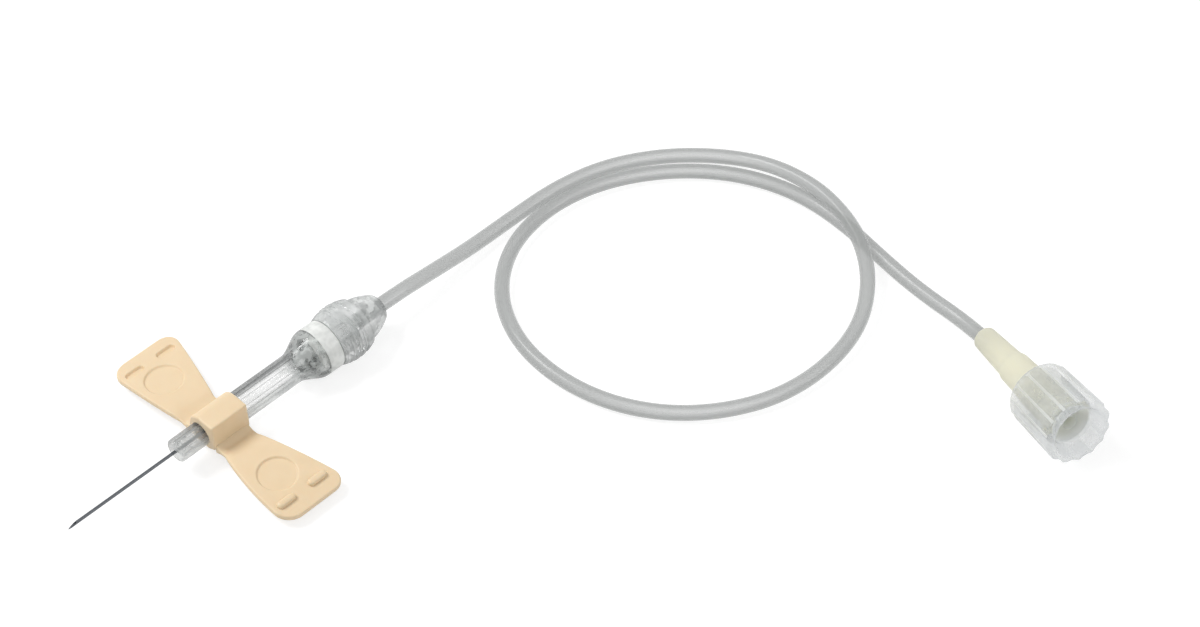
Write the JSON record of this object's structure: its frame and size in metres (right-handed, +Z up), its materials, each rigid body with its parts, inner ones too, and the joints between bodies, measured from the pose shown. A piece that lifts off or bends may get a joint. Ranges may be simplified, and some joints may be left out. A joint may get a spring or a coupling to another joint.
{
  "type": "winged infusion set",
  "caption": "Short steel needle in a clear sliding safety barrel with two soft folding wings, a clear grip, a loop of clear tubing and a capped luer connector.",
  "frame": {"origin": "on the table under the middle of the needle, barrel and grip, seen from above", "axes": "+X runs along the barrel from the needle's point towards the tubing, +Y towards the wing with slots, +Z up"},
  "size_m": [0.1277, 0.1143, 0.0124],
  "materials": {
    "needle_steel": "polished",
    "clear_rigid": "gloss",
    "frosted_ring": "satin",
    "soft_wing": "satin",
    "clear_soft": "gloss",
    "luer_plastic": "satin"
  },
  "bodies": {
    "line": {"needle_cannula": "needle_steel", "needle_hub": "clear_rigid", "rear_grip": "clear_rigid", "tubing": "clear_soft", "luer_hub": "luer_plastic"},
    "sheath": {"sheath_barrel": "clear_rigid", "lock_ring": "frosted_ring", "wing_saddle": "soft_wing"},
    "slotted_wing": {"wing_slotted": "soft_wing"},
    "pegged_wing": {"wing_pegged": "soft_wing"},
    "cap": {"luer_cap": "clear_rigid"}
  },
  "joints": [
    {"name": "sheath_slide", "type": "slide", "parent": "line", "child": "sheath", "axis": [-1, 0, 0], "range_m": [0, 0.022]},
    {"name": "slotted_wing_fold", "type": "hinge", "parent": "sheath", "child": "slotted_wing", "pos_m": [-0.0019, 0.004, 0.00275], "axis": [1, 0, 0], "range_deg": [0, 100], "stiffness_Nm_per_rad": 0.0003},
    {"name": "pegged_wing_fold", "type": "hinge", "parent": "sheath", "child": "pegged_wing", "pos_m": [-0.0019, -0.004, 0.00275], "axis": [-1, 0, 0], "range_deg": [0, 100], "stiffness_Nm_per_rad": 0.0003},
    {"name": "cap_pull", "type": "slide", "parent": "line", "child": "cap", "axis": [-0.3308, -0.9213, 0.2045], "range_m": [0, 0.012]}
  ]
}
